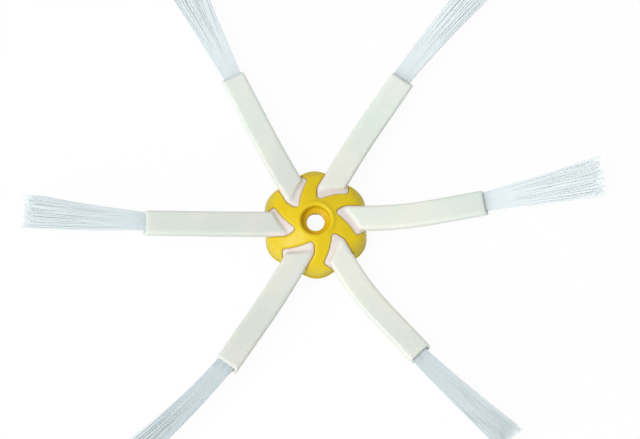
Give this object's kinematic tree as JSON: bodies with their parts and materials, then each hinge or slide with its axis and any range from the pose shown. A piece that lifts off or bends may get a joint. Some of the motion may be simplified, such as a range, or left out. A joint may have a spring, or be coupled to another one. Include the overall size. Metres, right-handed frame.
{
  "type": "robot vacuum side brush",
  "caption": "Side brush for a robot vacuum: domed hub with a screw seat and a square drive socket, soft radial arms keyed into swirled pockets, each with a bristle tuft.",
  "frame": {"origin": "on the drive axis, at the underside of the web that the fixing screw clamps", "axes": "+Z along the drive axis towards the screw head, +X along the first arm's spoke"},
  "size_m": [0.1595, 0.139, 0.0123],
  "materials": {
    "hub_yellow": "polished moulding",
    "arm_white": "satin soft elastomer",
    "bristle_clear": "clear nylon"
  },
  "bodies": {
    "root": {"hub": "hub_yellow", "arm_1": "arm_white", "arm_2": "arm_white", "arm_3": "arm_white", "arm_4": "arm_white", "arm_5": "arm_white", "arm_6": "arm_white", "bristle_tuft_1": "bristle_clear", "bristle_tuft_2": "bristle_clear", "bristle_tuft_3": "bristle_clear", "bristle_tuft_4": "bristle_clear", "bristle_tuft_5": "bristle_clear", "bristle_tuft_6": "bristle_clear"}
  },
  "joints": []
}
